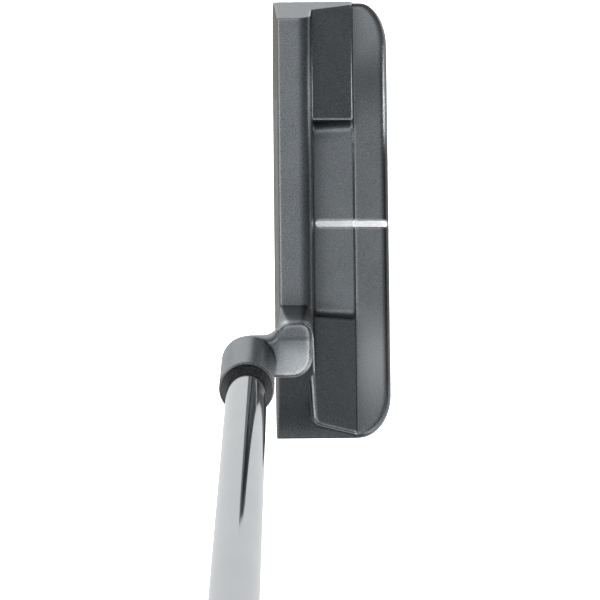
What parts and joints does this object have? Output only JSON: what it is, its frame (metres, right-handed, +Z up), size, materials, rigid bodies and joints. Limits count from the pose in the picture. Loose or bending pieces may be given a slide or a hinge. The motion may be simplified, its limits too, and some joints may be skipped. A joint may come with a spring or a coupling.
{
  "type": "putter",
  "caption": "Right-handed heel-toe weighted blade putter with a crank neck, cavity back, sight line, stepped steel shaft and flat-fronted rubber grip.",
  "frame": {"origin": "centre of the flat of the sole, on the ground, with the club standing at address", "axes": "+Z up, +X towards the heel and the player, -Y the way the face looks"},
  "size_m": [0.3843, 0.0495, 0.8153],
  "materials": {
    "head_body": "satin",
    "face_insert": "matte",
    "insert_adhesive": "matte",
    "sight_line": "satin",
    "hosel_collar": "satin",
    "hosel_adhesive": "matte",
    "shaft": "polished",
    "shaft_band": "gloss",
    "grip_tape": "matte",
    "grip": "matte",
    "grip_cap": "satin"
  },
  "bodies": {
    "root": {"head_body": "head_body", "face_insert": "face_insert", "insert_adhesive": "insert_adhesive", "sight_line": "sight_line", "hosel_collar": "hosel_collar", "hosel_adhesive": "hosel_adhesive", "shaft": "shaft", "shaft_band": "shaft_band", "grip_tape": "grip_tape", "grip": "grip", "grip_cap": "grip_cap"}
  },
  "joints": []
}
